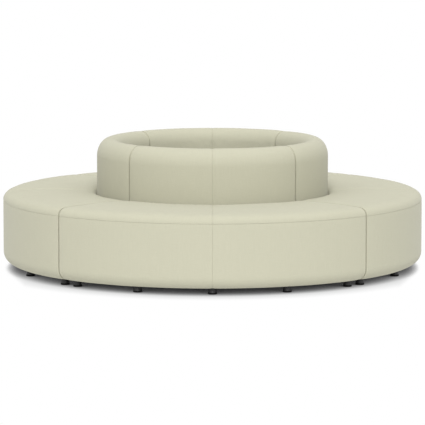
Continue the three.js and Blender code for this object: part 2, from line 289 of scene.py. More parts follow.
# Tee nuts: a zinc-plated steel flange with four prongs, hammered into the top of the base board
# round each glide's hole. Its threaded barrel takes the glide's stem.
TEE_NUT_BORE = 0.0053
TEE_NUT_FLANGE = 0.0120
TEE_NUT_THICKNESS = 0.0013
TEE_NUT_SIDES = 24
TEE_NUT_PRONG = 0.0070
PRONG_COUNT = 4
PRONG_PLACE = 0.85
PRONG_ROOT = 0.0012
PRONG_TIP = 0.0001
PRONG_SIDES = 4
ZINC_COLOUR = (0.60, 0.62, 0.64, 1)
ZINC_CLOUDED = (0.50, 0.53, 0.60, 1)
ZINC_CLOUD_SHARE = 0.35
ZINC_CLOUD_SCALE = 160.0
ZINC_GRAIN_SCALE = 2400.0
ZINC_RELIEF = (0.25, 0.0001)
ZINC_ROUGHNESS = (0.28, 0.48)


def zinc_finish(name):
    """Bright zinc plate, a little blue and clouded."""
    material, tree = new_finish(name)
    cloud = mottle(tree, object_place(tree), ZINC_CLOUD_SCALE)
    grain = mottle(tree, object_place(tree), ZINC_GRAIN_SCALE)
    clouded = calculate(tree, "MULTIPLY", cloud, ZINC_CLOUD_SHARE)
    colour = mixed(tree, clouded, ZINC_COLOUR, ZINC_CLOUDED)
    roughness = between(tree, cloud, *ZINC_ROUGHNESS)
    end_finish(tree, colour, roughness, grain, ZINC_RELIEF, {"Metallic": 1.0})
    return material


zinc = zinc_finish("zinc_plate")


def new_tree(name, sizes):
    """A Geometry Nodes tree with a geometry input named Places, an input for each size, and a
    Material. It gives back the tree and its inputs."""
    tree = bpy.data.node_groups.new(name, "GeometryNodeTree")
    tree.interface.new_socket("Places", in_out="INPUT", socket_type="NodeSocketGeometry")
    for size, kind in sizes.items():
        tree.interface.new_socket(size, in_out="INPUT", socket_type=f"NodeSocket{kind}")
    tree.interface.new_socket("Material", in_out="INPUT", socket_type="NodeSocketMaterial")
    tree.interface.new_socket("Pieces", in_out="OUTPUT", socket_type="NodeSocketGeometry")
    return tree, tree.nodes.new("NodeGroupInput").outputs


def vector(tree, x, y, z):
    return add_node(tree, "ShaderNodeCombineXYZ", {0: x, 1: y, 2: z}).outputs[0]


def half_of(tree, value):
    return calculate(tree, "MULTIPLY", value, 0.5)


def minus(tree, value):
    return calculate(tree, "MULTIPLY", value, -1.0)


def circle(tree, radius, sides):
    inputs = {"Resolution": sides, "Radius": radius}
    return add_node(tree, "GeometryNodeCurvePrimitiveCircle", inputs).outputs[0]


def oblong(tree, width, height):
    inputs = {"Width": width, "Height": height}
    return add_node(tree, "GeometryNodeCurvePrimitiveQuadrilateral", inputs).outputs[0]


def rod(tree, path, section, capped=False):
    """A solid with this section along a path."""
    inputs = {0: path, 1: section, "Fill Caps": capped}
    return add_node(tree, "GeometryNodeCurveToMesh", inputs).outputs[0]


def raised(tree, piece, height, rotation=(0, 0, 0)):
    """A piece turned where it stands, then raised by a height."""
    inputs = {"Geometry": piece, "Translation": vector(tree, 0, 0, height), "Rotation": rotation}
    return add_node(tree, "GeometryNodeTransform", inputs).outputs[0]


def set_out(tree, inputs, places, piece, rotation=None):
    """Ends a tree: the piece stands at each place, as real geometry with the tree's material."""
    copies = {"Points": places, "Instance": piece} | ({"Rotation": rotation} if rotation else {})
    instances = add_node(tree, "GeometryNodeInstanceOnPoints", copies).outputs[0]
    real = add_node(tree, "GeometryNodeRealizeInstances", {0: instances}).outputs[0]
    finished = add_node(tree, "GeometryNodeSetMaterial", {0: real, "Material": inputs["Material"]})
    tree.links.new(finished.outputs[0], tree.nodes.new("NodeGroupOutput").inputs[0])


def joined(tree, *parts):
    node = tree.nodes.new("GeometryNodeJoinGeometry")
    for part in parts:
        tree.links.new(part, node.inputs[0])
    return node.outputs[0]


def grown(name, places, tree, **values):
    """Runs a tree on an object of places, and keeps what it makes as a plain mesh."""
    modifier = places.modifiers.new("grow", "NODES")
    modifier.node_group = tree
    for socket in tree.interface.items_tree:
        label = socket.name.lower().replace(" ", "_")
        if socket.in_out == "INPUT" and label in values:
            modifier[socket.identifier] = values[label]
    evaluated = places.evaluated_get(bpy.context.evaluated_depsgraph_get())
    mesh = bpy.data.meshes.new_from_object(evaluated)
    places.modifiers.remove(modifier)
    bpy.data.objects.remove(places)
    piece = bpy.data.objects.new(name, mesh)
    bpy.context.scene.collection.objects.link(piece)
    return piece


tree, tee = new_tree("tee_nuts", dict.fromkeys(["Bore", "Flange", "Thickness", "Prong"], "Float"))
ring_radius = half_of(tree, calculate(tree, "ADD", tee["Bore"], tee["Flange"]))
ring_width = calculate(tree, "SUBTRACT", tee["Flange"], tee["Bore"])
ring = circle(tree, ring_radius, TEE_NUT_SIDES)
flange = rod(tree, ring, oblong(tree, ring_width, tee["Thickness"]))
prong_circle = circle(tree, calculate(tree, "MULTIPLY", tee["Flange"], PRONG_PLACE), PRONG_COUNT)
spike = {"Vertices": PRONG_SIDES, "Radius Top": PRONG_ROOT, "Radius Bottom": PRONG_TIP}
prong = add_node(tree, "GeometryNodeMeshCone", spike | {"Depth": tee["Prong"]})
hung = raised(tree, prong.outputs[0], minus(tree, tee["Prong"]))
prongs = add_node(tree, "GeometryNodeInstanceOnPoints", {0: prong_circle, "Instance": hung})
set_out(tree, tee, tee["Places"], joined(tree, flange, prongs.outputs[0]))

glide_places = {}
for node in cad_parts:
    if "_glide_" in node:
        lo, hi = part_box(node)
        glide_places[node] = (lo + hi) / 2

board_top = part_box("front_base_board")[1].z
nut_places = [(at.x, at.y, board_top + TEE_NUT_THICKNESS / 2) for at in glide_places.values()]
tee_nuts = grown(
    "tee_nuts",
    new_piece("nut_places", nut_places, []),
    tree,
    bore=TEE_NUT_BORE,
    flange=TEE_NUT_FLANGE,
    thickness=TEE_NUT_THICKNESS,
    prong=TEE_NUT_PRONG,
    material=zinc,
)
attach(tee_nuts, "sofa")

# Levelling glides: a black nylon foot with a slight taper, on a dull rubber sole. It is moulded on
# a zinc-plated steel stem, whose thread screws into the tee nut to level the sofa.
SOLE_RADIUS = 0.0258
SOLE_HEIGHT = 0.0105
SOLE_EDGE = 0.0030
FOOT_LOWER_RADIUS = 0.0248
FOOT_UPPER_RADIUS = 0.0236
FOOT_FILLET = 0.0006
FOOT_EDGE = 0.0010
FOOT_SIDES = 48
STEM_RADIUS = 0.0049
STEM_SIDES = 16
THREAD_PITCH = 0.0015
THREAD_DEPTH = 0.0007
THREAD_ROWS = 4
NYLON_COLOUR = (0.012, 0.012, 0.013, 1)
NYLON_ROUGHNESS = (0.40, 0.55)
NYLON_GLOSS = 0.5
RUBBER_COLOUR = (0.004, 0.004, 0.004, 1)
RUBBER_ROUGHNESS = (0.75, 0.90)
RUBBER_GLOSS = 0.15
MOULDED_GRAIN_SCALE = 1400.0
MOULDED_RELIEF = (0.3, 0.0001)
DUST_COLOUR = (0.050, 0.048, 0.045, 1)
DUST_SHARE = 0.1
DUST_SCALE = 90.0


def moulded_finish(name, colour, roughness, gloss):
    """Moulded black nylon or rubber: a fine grain, and a little dust in clouds."""
    material, tree = new_finish(name)
    grain = mottle(tree, object_place(tree), MOULDED_GRAIN_SCALE)
    cloud = mottle(tree, object_place(tree), DUST_SCALE)
    dusty = mixed(tree, calculate(tree, "MULTIPLY", cloud, DUST_SHARE), colour, DUST_COLOUR)
    worn = between(tree, cloud, *roughness)
    end_finish(tree, dusty, worn, grain, MOULDED_RELIEF, {"Specular IOR Level": gloss})
    return material


def bend(centre, radius, start, stop, steps):
    """Points round part of a circle in radius and height, with angles in degrees."""
    turn = np.radians(np.linspace(start, stop, steps + 1))
    return [(centre[0] + radius * math.cos(a), centre[1] + radius * math.sin(a)) for a in turn]


def turned(outline, sides):
    """Points and faces of a piece turned about Z. Its outline runs from the axis to the axis."""
    turn = np.arange(sides) * 2 * math.pi / sides
    rings = np.array(outline[1:-1])
    x = rings[:, :1] * np.cos(turn)
    y = rings[:, :1] * np.sin(turn)
    z = np.broadcast_to(rings[:, 1:], x.shape)
    points = np.stack([x, y, z], axis=-1).reshape(-1, 3)
    last = len(rings) - 1
    faces = [list(range(sides - 1, -1, -1)), [last * sides + k for k in range(sides)]]
    for i in range(last):
        for k in range(sides):
            a = i * sides + k
            b = i * sides + (k + 1) % sides
            faces.append((a, b, b + sides, a + sides))
    return points, faces


def shade(piece, sharpest=35):
    """Faces point out, and shading is smooth but for edges sharper than this many degrees."""
    shaped = bmesh.new()
    shaped.from_mesh(piece.data)
    bmesh.ops.recalc_face_normals(shaped, faces=shaped.faces)
    for face in shaped.faces:
        face.smooth = True
    for edge in shaped.edges:
        edge.smooth = edge.calc_face_angle(math.pi) < math.radians(sharpest)
    shaped.to_mesh(piece.data)
    shaped.free()


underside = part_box("front_apron_upholstery")[0].z
stem_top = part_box("front_glide_inner")[1].z
foot_outline = [
    (0, 0),
    *bend((SOLE_RADIUS - SOLE_EDGE, SOLE_EDGE), SOLE_EDGE, -90, 0, steps=5),
    *bend((SOLE_RADIUS - FOOT_FILLET, SOLE_HEIGHT - FOOT_FILLET), FOOT_FILLET, 0, 90, steps=2),
    *bend((FOOT_LOWER_RADIUS + FOOT_FILLET, SOLE_HEIGHT + FOOT_FILLET), FOOT_FILLET, 270, 180, steps=2),
    *bend((FOOT_UPPER_RADIUS - FOOT_EDGE, underside - FOOT_EDGE), FOOT_EDGE, 0, 90, steps=3),
    (0, underside),
]
foot_points, foot_faces = turned(foot_outline, FOOT_SIDES)

thread_rows = np.arange(underside - THREAD_PITCH, stem_top - THREAD_PITCH, THREAD_PITCH / THREAD_ROWS)
stem_outline = [(0, thread_rows[0])]
stem_outline += [(STEM_RADIUS, row) for row in thread_rows]
stem_outline += [(STEM_RADIUS - THREAD_DEPTH, stem_top), (0, stem_top)]
stem_points, stem_faces = turned(stem_outline, STEM_SIDES)
share_of_turn = np.arctan2(stem_points[:, 1], stem_points[:, 0]) / (2 * math.pi)
winding = stem_points[:, 2] / THREAD_PITCH - share_of_turn
groove = THREAD_DEPTH * np.abs(2 * (winding % 1) - 1)
groove[-STEM_SIDES:] = 0
stem_points[:, :2] *= (1 - groove / STEM_RADIUS)[:, None]

nylon = moulded_finish("black_nylon", NYLON_COLOUR, NYLON_ROUGHNESS, NYLON_GLOSS)
rubber = moulded_finish("black_rubber", RUBBER_COLOUR, RUBBER_ROUGHNESS, RUBBER_GLOSS)
for node, at in glide_places.items():
    foot = new_piece(f"{node}_foot", foot_points + (at.x, at.y, 0), foot_faces)
    shade(foot)
    foot.data.materials.append(nylon)
    foot.data.materials.append(rubber)
    for face in foot.data.polygons:
        face.material_index = int(face.center.z < SOLE_HEIGHT)
    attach(foot, node)
    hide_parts(node)
    stem = new_piece(f"{node}_stem", stem_points + (at.x, at.y, 0), stem_faces)
    shade(stem, sharpest=50)
    stem.data.materials.append(zinc)
    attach(stem, node)

# Seat frames and decks: plywood ribs glued into a bent plywood front rail, with an 18 mm deck on
# top that carries the seat foam. The whole box is hidden once the module is upholstered.
for side in MODULES:
    refinish(f"{side}_seat_frame", board_plywood)
    refinish(f"{side}_seat_deck", board_plywood)


# Back frames: two bent plywood skins on uprights, under a top cap. The skins' layers follow the
# bend, so their glue lines show on the edges that face up and down.
def bent_layers(tree, place):
    """A bent skin's layers lie one outside another, and show where it faces up or down."""
    edge = calculate(tree, "GREATER_THAN", facing_up_or_down(tree), LEVEL_FACE)
    return length_of(tree, stretched(tree, place, (1, 1, 0))), edge


bent_plywood = plywood_finish("bent_plywood", bent_layers)
for side in MODULES:
    refinish(f"{side}_back_frame", bent_plywood)

# Backrests: a fabric cover over foam on both faces of the back frame. The round top comes down
# further on the side that is sat against. The cover's two halves are sewn together up the middle.
SEAT_DEPTH = 0.560
BACK_THICKNESS = 0.154
BACK_FRONT_FOAM = 0.035
BACK_REAR_FOAM = 0.025
BACK_TOP_FOAM = 0.050
BACK_FRONT_ROUND = 0.102
REAR_EDGE = 0.018
CLEARANCE = 0.0003
MODULE_GAP = 0.010
END_EDGE = 0.003
END_EDGE_ROWS = 8
END_NEXT_ROWS = (1.35, 1.8, 2.6)
END_DRAW = 0.0018
END_DRAW_REACH = 0.030
END_SWELL = 0.0048
END_SWELL_ROWS = 6
END_SWELL_REACH = 0.030
END_SWELL_SHARE = 0.75
SEAM_EDGE = 0.0016
SEAM_ROWS = (8, 5.5, 3.6, 2.4, 1.6, 1, 0.8, 0.55, 0.3, 0.12, 0)
SEAM_DRAW = 0.0013
SEAM_DRAW_REACH = 0.011
EDGE_SEAM_DRAW = 0.0008
EDGE_SEAM_REACH = 0.014
PUCKER_DEPTH = 0.00035
PUCKER_REACH = 0.015
PUCKER_WAVES = (0.019, 0.027, 0.043)
RIPPLE_LENGTHS = (0.14, 0.45)
RIPPLE_WAVES = 7
RIPPLE_CALM = 0.06
BACK_SWELL = 0.0025
BACK_RIPPLE = 0.0003
BACK_TOP_PRESSED = 0.85
COVER_SPACING = 0.0075
SWEEP_STEPS = 6
FRAME_LINE_STEP = 0.02
SIM_ROWS = 97
SIM_SPACING = 0.013
SIM_FRAMES = 20
SIM_QUALITY = 6
SIM_PRESSURE = 0.5
SIM_MASS = 0.3
SIM_STRETCH = 40
SIM_SHEAR = 8
SIM_BENDING = 1.0
QUARTER = math.radians(90)
FABRIC_COLOUR = (0.412, 0.403, 0.310)
FABRIC_ROUGHNESS = (0.80, 0.95)
FABRIC_GLOSS = {"Specular IOR Level": 0.25, "Sheen Weight": 0.10, "Sheen Roughness": 0.45}
FABRIC_RELIEF = (0.5, 0.0002)
YARN_PITCH = 0.0011
# Painted shade on the weave: how much lighter its rises and darker its hollows are made.
PAINTED_WEAVE_SHADE = 0.035
WARP_SLUBS = (800, 16, 1)
WARP_SHADE = 0.16
WEFT_SLUBS = (16, 800, 1)
WEFT_SHADE = 0.12
DYE_STREAKS = (75, 2.2, 1)
STREAK_SHADE = 0.035
DYE_CLOUDS = 5.0
CLOUD_SHADE = 0.02


def crossed(tree, place, count):
    """A grid of rises and hollows: 1 or -1 at their middles, and 0 between them."""
    counted = stretched(tree, place, (count, count, 1))
    waves = [calculate(tree, "SINE", part_of(tree, counted, axis)) for axis in "XY"]
    return calculate(tree, "MULTIPLY", *waves)


def fabric_finish(name):
    """Plain woven wool-blend cloth in a pale stone colour. The weave follows each cut panel by its
    own flat coordinates, in metres: yarns over and under, with painted shade that makes the
    weave's rises lighter and its hollows darker, slubs, and faint streaks of dye."""
    material, tree = new_finish(name)
    flat = add_node(tree, "ShaderNodeUVMap", uv_map="cloth").outputs["UV"]
    over = crossed(tree, flat, math.pi / YARN_PITCH)
    warp = mottle(tree, stretched(tree, flat, WARP_SLUBS), 1.0)
    weft = mottle(tree, stretched(tree, flat, WEFT_SLUBS), 1.0)
    streak = mottle(tree, stretched(tree, flat, DYE_STREAKS), 1.0)
    cloud = mottle(tree, flat, DYE_CLOUDS)
    # Painted shade: the weave's rises are made lighter and its hollows darker, following its relief.
    tone = calculate(tree, "MULTIPLY_ADD", over, PAINTED_WEAVE_SHADE, 1.0)
    marks = [(warp, WARP_SHADE), (weft, WEFT_SHADE), (streak, STREAK_SHADE), (cloud, CLOUD_SHADE)]
    for mark, strength in marks:
        centred = calculate(tree, "SUBTRACT", mark, 0.5)
        tone = calculate(tree, "MULTIPLY_ADD", centred, strength, tone)
    tinted = {0: FABRIC_COLOUR, "Scale": tone}
    colour = add_node(tree, "ShaderNodeVectorMath", tinted, operation="SCALE").outputs[0]
    grain = calculate(tree, "MULTIPLY_ADD", over, 0.5, calculate(tree, "ADD", warp, weft))
    roughness = between(tree, warp, *FABRIC_ROUGHNESS)
    end_finish(tree, colour, roughness, grain, FABRIC_RELIEF, FABRIC_GLOSS)
    return material


fabric = fabric_finish("pale_wool_cloth")


def on_module(radius, angle, height):
    """Places round the ring. An angle of 0 is the front, and it grows towards the right."""
    return np.stack(np.broadcast_arrays(radius * np.sin(angle), -radius * np.cos(angle), height), axis=-1)


def swept(centre, across, up, start, stop, spacing=COVER_SPACING):
    """Part of an ellipse in a cover's section. Each row has a radius, a height, and the way out."""
    length = math.hypot(across, up) * abs(stop - start) * math.pi / 180 / math.sqrt(2)
    steps = max(SWEEP_STEPS, round(length / spacing))
    turn = np.radians(np.linspace(start, stop, steps + 1))
    out = np.column_stack([np.cos(turn), np.sin(turn)])
    return np.hstack([np.array(centre) + out * (across, up), out])


def straight(start, stop, out, spacing=COVER_SPACING):
    """A straight stretch of a cover's section, without its two ends."""
    steps = round(math.dist(start, stop) / spacing)
    share = np.linspace(0, 1, steps + 1)[1:-1, None]
    places = np.array(start) * (1 - share) + np.array(stop) * share
    return np.hstack([places, np.broadcast_to(out, places.shape)])


def lengths_along(section):
    """How far along the section each of its points lies."""
    steps = np.linalg.norm(np.diff(section[:, :2], axis=0), axis=1)
    return np.concatenate([[0], np.cumsum(steps)])


def stations(radii, spacing):
    """Angles round a module at which a cover has its sections, for each of these radii. Close to
    the ends and to the middle seam they keep their distance from it, in multiples of its edge's
    radius, so that edges run true. The first ones are on the end's face, which swells until it
    meets the next module's."""
    on_face = END_SWELL * (np.cos(np.radians(np.linspace(180, 30, END_SWELL_ROWS))) - 1) / 2
    on_edge = END_EDGE * (1 - np.cos(np.radians(np.linspace(0, 90, END_EDGE_ROWS))))
    past_edge = END_EDGE * np.array(END_NEXT_ROWS)
    from_end = MODULE_GAP / 2 + np.concatenate([on_face, on_edge, past_edge])
    from_seam = SEAM_EDGE * np.array(SEAM_ROWS)
    end_angles = QUARTER / 2 - np.arcsin(from_end[:, None] / radii)
    seam_angles = np.arcsin(from_seam[:, None] / radii)
    across = seam_angles[0] - end_angles[-1]
    count = round(-across.min() * np.max(radii) / spacing)
    share = np.linspace(0, 1, count + 1)[1:-1, None]
    half = np.vstack([end_angles, end_angles[-1] + across * share, seam_angles])
    return np.vstack([half, -half[-2::-1]])


def rounded_off(distance, radius):
    """How far a rounded edge draws in, by the distance from where it ends."""
    short = np.clip(radius - distance, 0, radius)
    return radius - np.sqrt(radius**2 - short**2)


def gathers(along, away, draws):
    """Small puckers that a seam's thread draws into the cloth beside it."""
    wave = sum(np.sin(2 * math.pi * (along / length + draws.random())) for length in PUCKER_WAVES)
    return PUCKER_DEPTH * wave / len(PUCKER_WAVES) * np.exp(-((away / PUCKER_REACH) ** 2))


def ripples(around, along, depth, draws):
    """Slow undulations of foam under cloth."""
    total = 0
    for length in draws.uniform(*RIPPLE_LENGTHS, RIPPLE_WAVES):
        heading = draws.uniform(0, math.pi)
        phase = 2 * math.pi * draws.random()
        way = around * math.cos(heading) + along * math.sin(heading)
        total = total + np.sin(2 * math.pi * way / length + phase)
    return depth * total / math.sqrt(RIPPLE_WAVES)


def cubic_weights(share):
    """How much each of the four nearest values counts, this share of the way past the second."""
    a, b, c = share, share**2, share**3
    return [-a / 2 + b - c / 2, 1 - 2.5 * b + 1.5 * c, a / 2 + 2 * b - 1.5 * c, (c - b) / 2]


def read_between(grid, rows, columns):
    """A grid's values between its points, by smooth curves through the nearest ones."""
    row, column = np.floor(rows).astype(int), np.floor(columns).astype(int)
    last_row, last_column = np.array(grid.shape) - 1
    total = 0
    for i, by_row in enumerate(cubic_weights(rows - row)):
        for j, by_column in enumerate(cubic_weights(columns - column)):
            near = np.clip(row + i - 1, 0, last_row), np.clip(column + j - 1, 0, last_column)
            total = total + by_row * by_column * grid[near]
    return total


def grid_faces(rows, columns):
    """Faces of a tube of closed sections, with a face over each end."""
    ring = np.arange(columns)
    start = np.arange(rows - 1)[:, None] * columns
    beside = np.roll(ring, -1)
    quads = [start + ring, start + beside, start + columns + beside, start + columns + ring]
    caps = [ring[::-1].tolist(), ((rows - 1) * columns + ring).tolist()]
    return np.stack(quads, axis=-1).reshape(-1, 4).tolist() + caps


def swelling(cover, hidden, sewn, most):
    """Cloth simulation of one module's cover over foam that presses out. It is pinned where it is
    sewn or hidden, and gives how far each point of a coarse grid swells, up to most."""
    lengths = lengths_along(cover)
    count = round(lengths[-1] / SIM_SPACING) + 1
    even = np.linspace(0, lengths[-1], count)
    coarse = np.column_stack([np.interp(even, lengths, column) for column in cover.T])
    section = np.vstack([coarse[:, :2], hidden])
    angles = np.linspace(QUARTER / 2, -QUARTER / 2, SIM_ROWS)[:, None]
    points = on_module(section[:, 0], angles, section[:, 1])
    body = new_piece("swelling", points.reshape(-1, 3), grid_faces(SIM_ROWS, len(section)))
    shade(body)
    pins = np.ones(points.shape[:2], bool)
    pins[1:-1, :count] = False
    pins[SIM_ROWS // 2] = True
    for start, stop in sewn:
        pins[:, :count] |= (even >= start) & (even <= stop)
    body.vertex_groups.new(name="pins").add(np.flatnonzero(pins).tolist(), 1.0, "REPLACE")
    cloth = body.modifiers.new("cloth", "CLOTH")
    cloth.settings.quality = SIM_QUALITY
    cloth.settings.mass = SIM_MASS
    cloth.settings.tension_stiffness = SIM_STRETCH
    cloth.settings.compression_stiffness = SIM_STRETCH
    cloth.settings.shear_stiffness = SIM_SHEAR
    cloth.settings.bending_stiffness = SIM_BENDING
    cloth.settings.use_pressure = True
    cloth.settings.uniform_pressure_force = SIM_PRESSURE
    cloth.settings.vertex_group_mass = "pins"
    cloth.settings.effector_weights.gravity = 0
    cloth.point_cache.frame_start = 1
    cloth.point_cache.frame_end = SIM_FRAMES
    for step in range(1, SIM_FRAMES + 1):
        bpy.context.scene.frame_set(step)
    evaluated = body.evaluated_get(bpy.context.evaluated_depsgraph_get())
    swollen = np.empty(points.size)
    evaluated.data.vertices.foreach_get("co", swollen)
    moved = (swollen.reshape(points.shape) - points)[:, :count]
    bpy.data.objects.remove(body)
    bpy.context.scene.frame_set(1)
    out = on_module(coarse[:, 2], angles, coarse[:, 3])
    return most * np.tanh(np.clip((moved * out).sum(axis=-1), 0, None) / most)


def corners_of(piece):
    """Which point each corner of each face stands at."""
    corners = np.empty(len(piece.data.loops), int)
    piece.data.loops.foreach_get("vertex_index", corners)
    return corners


def finish_in_cloth(piece, flat):
    """Gives a piece the cloth, with the cloth's own place at each corner of each face."""
    piece.data.uv_layers.new(name="cloth").data.foreach_set("uv", flat.ravel())
    shade(piece)
    piece.data.materials.append(fabric)


def cover_piece(name, turn, section, angles, heights, panel_places):
    """A cover's mesh on one module. Each of its half panels has its own place in the cloth."""
    rows, columns = angles.shape
    radii = section[:, 0] + heights * section[:, 2]
    levels = section[:, 1] + heights * section[:, 3]
    points = on_module(radii, turn + angles, levels).reshape(-1, 3)
    piece = new_piece(name, points, grid_faces(rows, columns))
    corners = corners_of(piece)
    first, second = [panel_places(hand * QUARTER / 4).reshape(-1, 2)[corners] for hand in (1, -1)]
    quads = (rows - 1) * columns
    on_second = np.arange(quads * 4) >= quads * 2
    on_second = np.concatenate([on_second, np.zeros(columns, bool), np.ones(columns, bool)])
    finish_in_cloth(piece, np.where(on_second[:, None], second, first))
    return piece


def upholster(kind, node, cover, hidden, seams, sewn, swell, ripple, unrolled=None, pressed=0.0):
    """A foam pad in its sewn cover, on each module. cover is its section where it shows, hidden its
    section against the frame. seams are the lengths along the cover at which a seam runs round.
    Where the cover faces up, the next module's pad may press the joint shut by a share of its
    depth. unrolled is the inner radius of a cover whose panels are cut as parts of a flat ring."""
    lengths = lengths_along(cover)
    swollen = swelling(cover, hidden, sewn, swell)
    section = np.vstack([cover, np.hstack([hidden, np.zeros_like(hidden)])])
    all_lengths = lengths_along(section)
    angles = stations(section[:, 0], COVER_SPACING)
    radii = section[:, 0]
    from_middle = radii * np.sin(np.abs(angles))
    from_end = radii * np.sin(QUARTER / 2 - np.abs(angles)) - MODULE_GAP / 2
    rows = (QUARTER / 2 - angles) / QUARTER * (SIM_ROWS - 1)
    columns = np.broadcast_to(all_lengths / lengths[-1] * (swollen.shape[1] - 1), angles.shape)
    shape = read_between(swollen, rows, columns)
    shape = shape - rounded_off(from_end, END_EDGE) - rounded_off(from_middle, SEAM_EDGE)
    way = np.arange(0, len(hidden), FRAME_LINE_STEP)
    corners = np.arange(len(hidden))
    frame_line = np.column_stack([np.interp(way, corners, column) for column in hidden.T])
    foam = np.linalg.norm(section[:, None, :2] - frame_line, axis=2).min(axis=1)
    facing_up = np.clip(section[:, 3], 0, 1)
    reach = np.minimum(END_SWELL_REACH, foam * END_SWELL_SHARE) * (1 - pressed * facing_up)
    swell_share = np.clip(-from_end / END_SWELL, 0, 1)
    shape = shape - reach * np.arccos(1 - 2 * swell_share) / math.pi
    shape = shape - END_DRAW * np.exp(-((from_end / END_DRAW_REACH) ** 2))
    shape = shape - SEAM_DRAW * np.exp(-((from_middle / SEAM_DRAW_REACH) ** 2))
    for seam in seams:
        shape = shape - EDGE_SEAM_DRAW * np.exp(-(((all_lengths - seam) / EDGE_SEAM_REACH) ** 2))

    def panel_places(middle):
        if unrolled is None:
            around = (angles - middle) * radii.max()
            return np.stack([around, np.broadcast_to(all_lengths, angles.shape)], axis=-1)
        away = unrolled + lengths[-1] - all_lengths
        return np.stack([away * np.sin(angles - middle), away * np.cos(angles - middle)], axis=-1)

    calm = np.clip(from_middle / RIPPLE_CALM, 0, 1) * np.clip(from_end / RIPPLE_CALM, 0, 1)
    for order, side in enumerate(MODULES):
        draws = np.random.default_rng([order, *kind.encode()])
        heights = shape + calm * ripples(radii * angles, all_lengths, ripple, draws)
        heights = heights + gathers(all_lengths, from_middle, draws) * np.clip(from_end / END_EDGE, 0, 1)
        for seam in seams:
            heights = heights + gathers(radii * angles, all_lengths - seam, draws)
        piece = cover_piece(f"{side}_{kind}", order * QUARTER, section, angles, heights, panel_places)
        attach(piece, "sofa")
        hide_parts(f"{side}_{node}")


outer_radius = round(-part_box("front_apron_upholstery")[0].y, 4)
seat_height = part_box("front_seat_cushion")[1].z
overall_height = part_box("front_backrest_upholstery")[1].z
deck_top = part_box("front_seat_deck")[1].z
pad_base = deck_top + CLEARANCE
back_face = outer_radius - SEAT_DEPTH
well_radius = back_face - BACK_THICKNESS
back_round = BACK_THICKNESS / 2
front_round_centre = (well_radius + back_round, overall_height - BACK_FRONT_ROUND)
rear_round_centre = (well_radius + back_round, overall_height - back_round)
rear_edge_centre = (well_radius + REAR_EDGE, underside + REAR_EDGE)
back_cover = np.vstack([
    [(back_face, pad_base, 1, 0)],
    straight((back_face, pad_base), (back_face, front_round_centre[1]), (1, 0)),
    swept(front_round_centre, back_round, BACK_FRONT_ROUND, 0, 90),
    swept(rear_round_centre, back_round, back_round, 90, 180)[1:],
    straight((well_radius, rear_round_centre[1]), (well_radius, rear_edge_centre[1]), (-1, 0)),
    swept(rear_edge_centre, REAR_EDGE, REAR_EDGE, 180, 270),
])
frame_inside = well_radius + BACK_REAR_FOAM - CLEARANCE
frame_outside = back_face - BACK_FRONT_FOAM + CLEARANCE
frame_over = overall_height - BACK_TOP_FOAM + CLEARANCE
back_hidden = np.array([
    (frame_inside, underside + END_EDGE + CLEARANCE),
    (frame_inside, frame_over),
    (frame_outside, frame_over),
    (frame_outside, pad_base),
])
behind_seat = seat_height - pad_base
back_length = lengths_along(back_cover)[-1]
upholster(
    "backrest",
    "backrest_upholstery",
    back_cover,
    back_hidden,
    seams=[],
    sewn=[(0, behind_seat), (back_length - 2 * REAR_EDGE, back_length)],
    swell=BACK_SWELL,
    ripple=BACK_RIPPLE,
    pressed=BACK_TOP_PRESSED,
)

# Aprons: foam and fabric round the outside of the box, straight down from the seat's seam and
# rolled under the base board, where the fabric is stapled. They are sewn up the middle.
EDGE_ROLL_DEPTH = 0.045
SEAT_CROWN = 0.005
SEAM_LIP = 0.0018
SEAM_TUCK = 0.003
APRON_FOAM = 0.045
APRON_ROLL = 0.068
APRON_SWELL = 0.0015
APRON_RIPPLE = 0.00025
apron_roll_centre = (outer_radius - APRON_ROLL, underside + APRON_ROLL)
seat_edge = seat_height - SEAT_CROWN
edge_seam = seat_edge - EDGE_ROLL_DEPTH - SEAM_TUCK
apron_lip_centre = (outer_radius - SEAM_LIP, edge_seam - CLEARANCE - SEAM_LIP)
apron_lip = swept(apron_lip_centre, SEAM_LIP, SEAM_LIP, 0, 90)
apron_lip[:, 2:] = (1, 0)
apron_cover = np.vstack([
    swept(apron_roll_centre, APRON_ROLL, APRON_ROLL, -90, 0),
    straight((outer_radius, apron_roll_centre[1]), (outer_radius, apron_lip_centre[1]), (1, 0)),
    apron_lip,
])
rail_radius = outer_radius - APRON_FOAM + CLEARANCE
apron_hidden = np.array([
    (rail_radius, edge_seam - CLEARANCE),
    (rail_radius, apron_roll_centre[1]),
    (apron_roll_centre[0], board_top),
])
apron_length = lengths_along(apron_cover)[-1]
upholster(
    "apron",
    "apron_upholstery",
    apron_cover,
    apron_hidden,
    seams=[apron_length],
    sewn=[(0, 2 * REAR_EDGE), (apron_length - 2 * SEAM_LIP, apron_length)],
    swell=APRON_SWELL,
    ripple=APRON_RIPPLE,
)

# Seat cushions: thick foam on the deck under a crowned top panel. At the front the panel rolls
# over the edge to the seam with the apron. At the back it rolls down against the backrest.
EDGE_ROLL = 0.056
TUCK_ROLL = 0.050
TUCK_DEPTH = 0.044
SEAT_SWELL = 0.004
SEAT_RIPPLE = 0.0005
seat_inside = back_face + CLEARANCE
seat_lip_centre = (outer_radius - SEAM_LIP, edge_seam + SEAM_LIP)
seat_roll_centre = (outer_radius - EDGE_ROLL, seat_edge - EDGE_ROLL_DEPTH)
seat_tuck_centre = (seat_inside + TUCK_ROLL, seat_edge - TUCK_DEPTH)
seat_lip = swept(seat_lip_centre, SEAM_LIP, SEAM_LIP, -90, 0)
seat_lip[:, 2:] = (1, 0)
seat_top = straight((seat_roll_centre[0], seat_edge), (seat_tuck_centre[0], seat_edge), (0, 1))
across_top = np.interp(seat_top[:, 0], [seat_tuck_centre[0], seat_roll_centre[0]], [-1, 1])
seat_top[:, 1] += SEAT_CROWN * (1 - across_top**2)
seat_cover = np.vstack([
    seat_lip,
    swept(seat_roll_centre, EDGE_ROLL, EDGE_ROLL_DEPTH, 0, 90),
    seat_top,
    swept(seat_tuck_centre, TUCK_ROLL, TUCK_DEPTH, 90, 180),
])
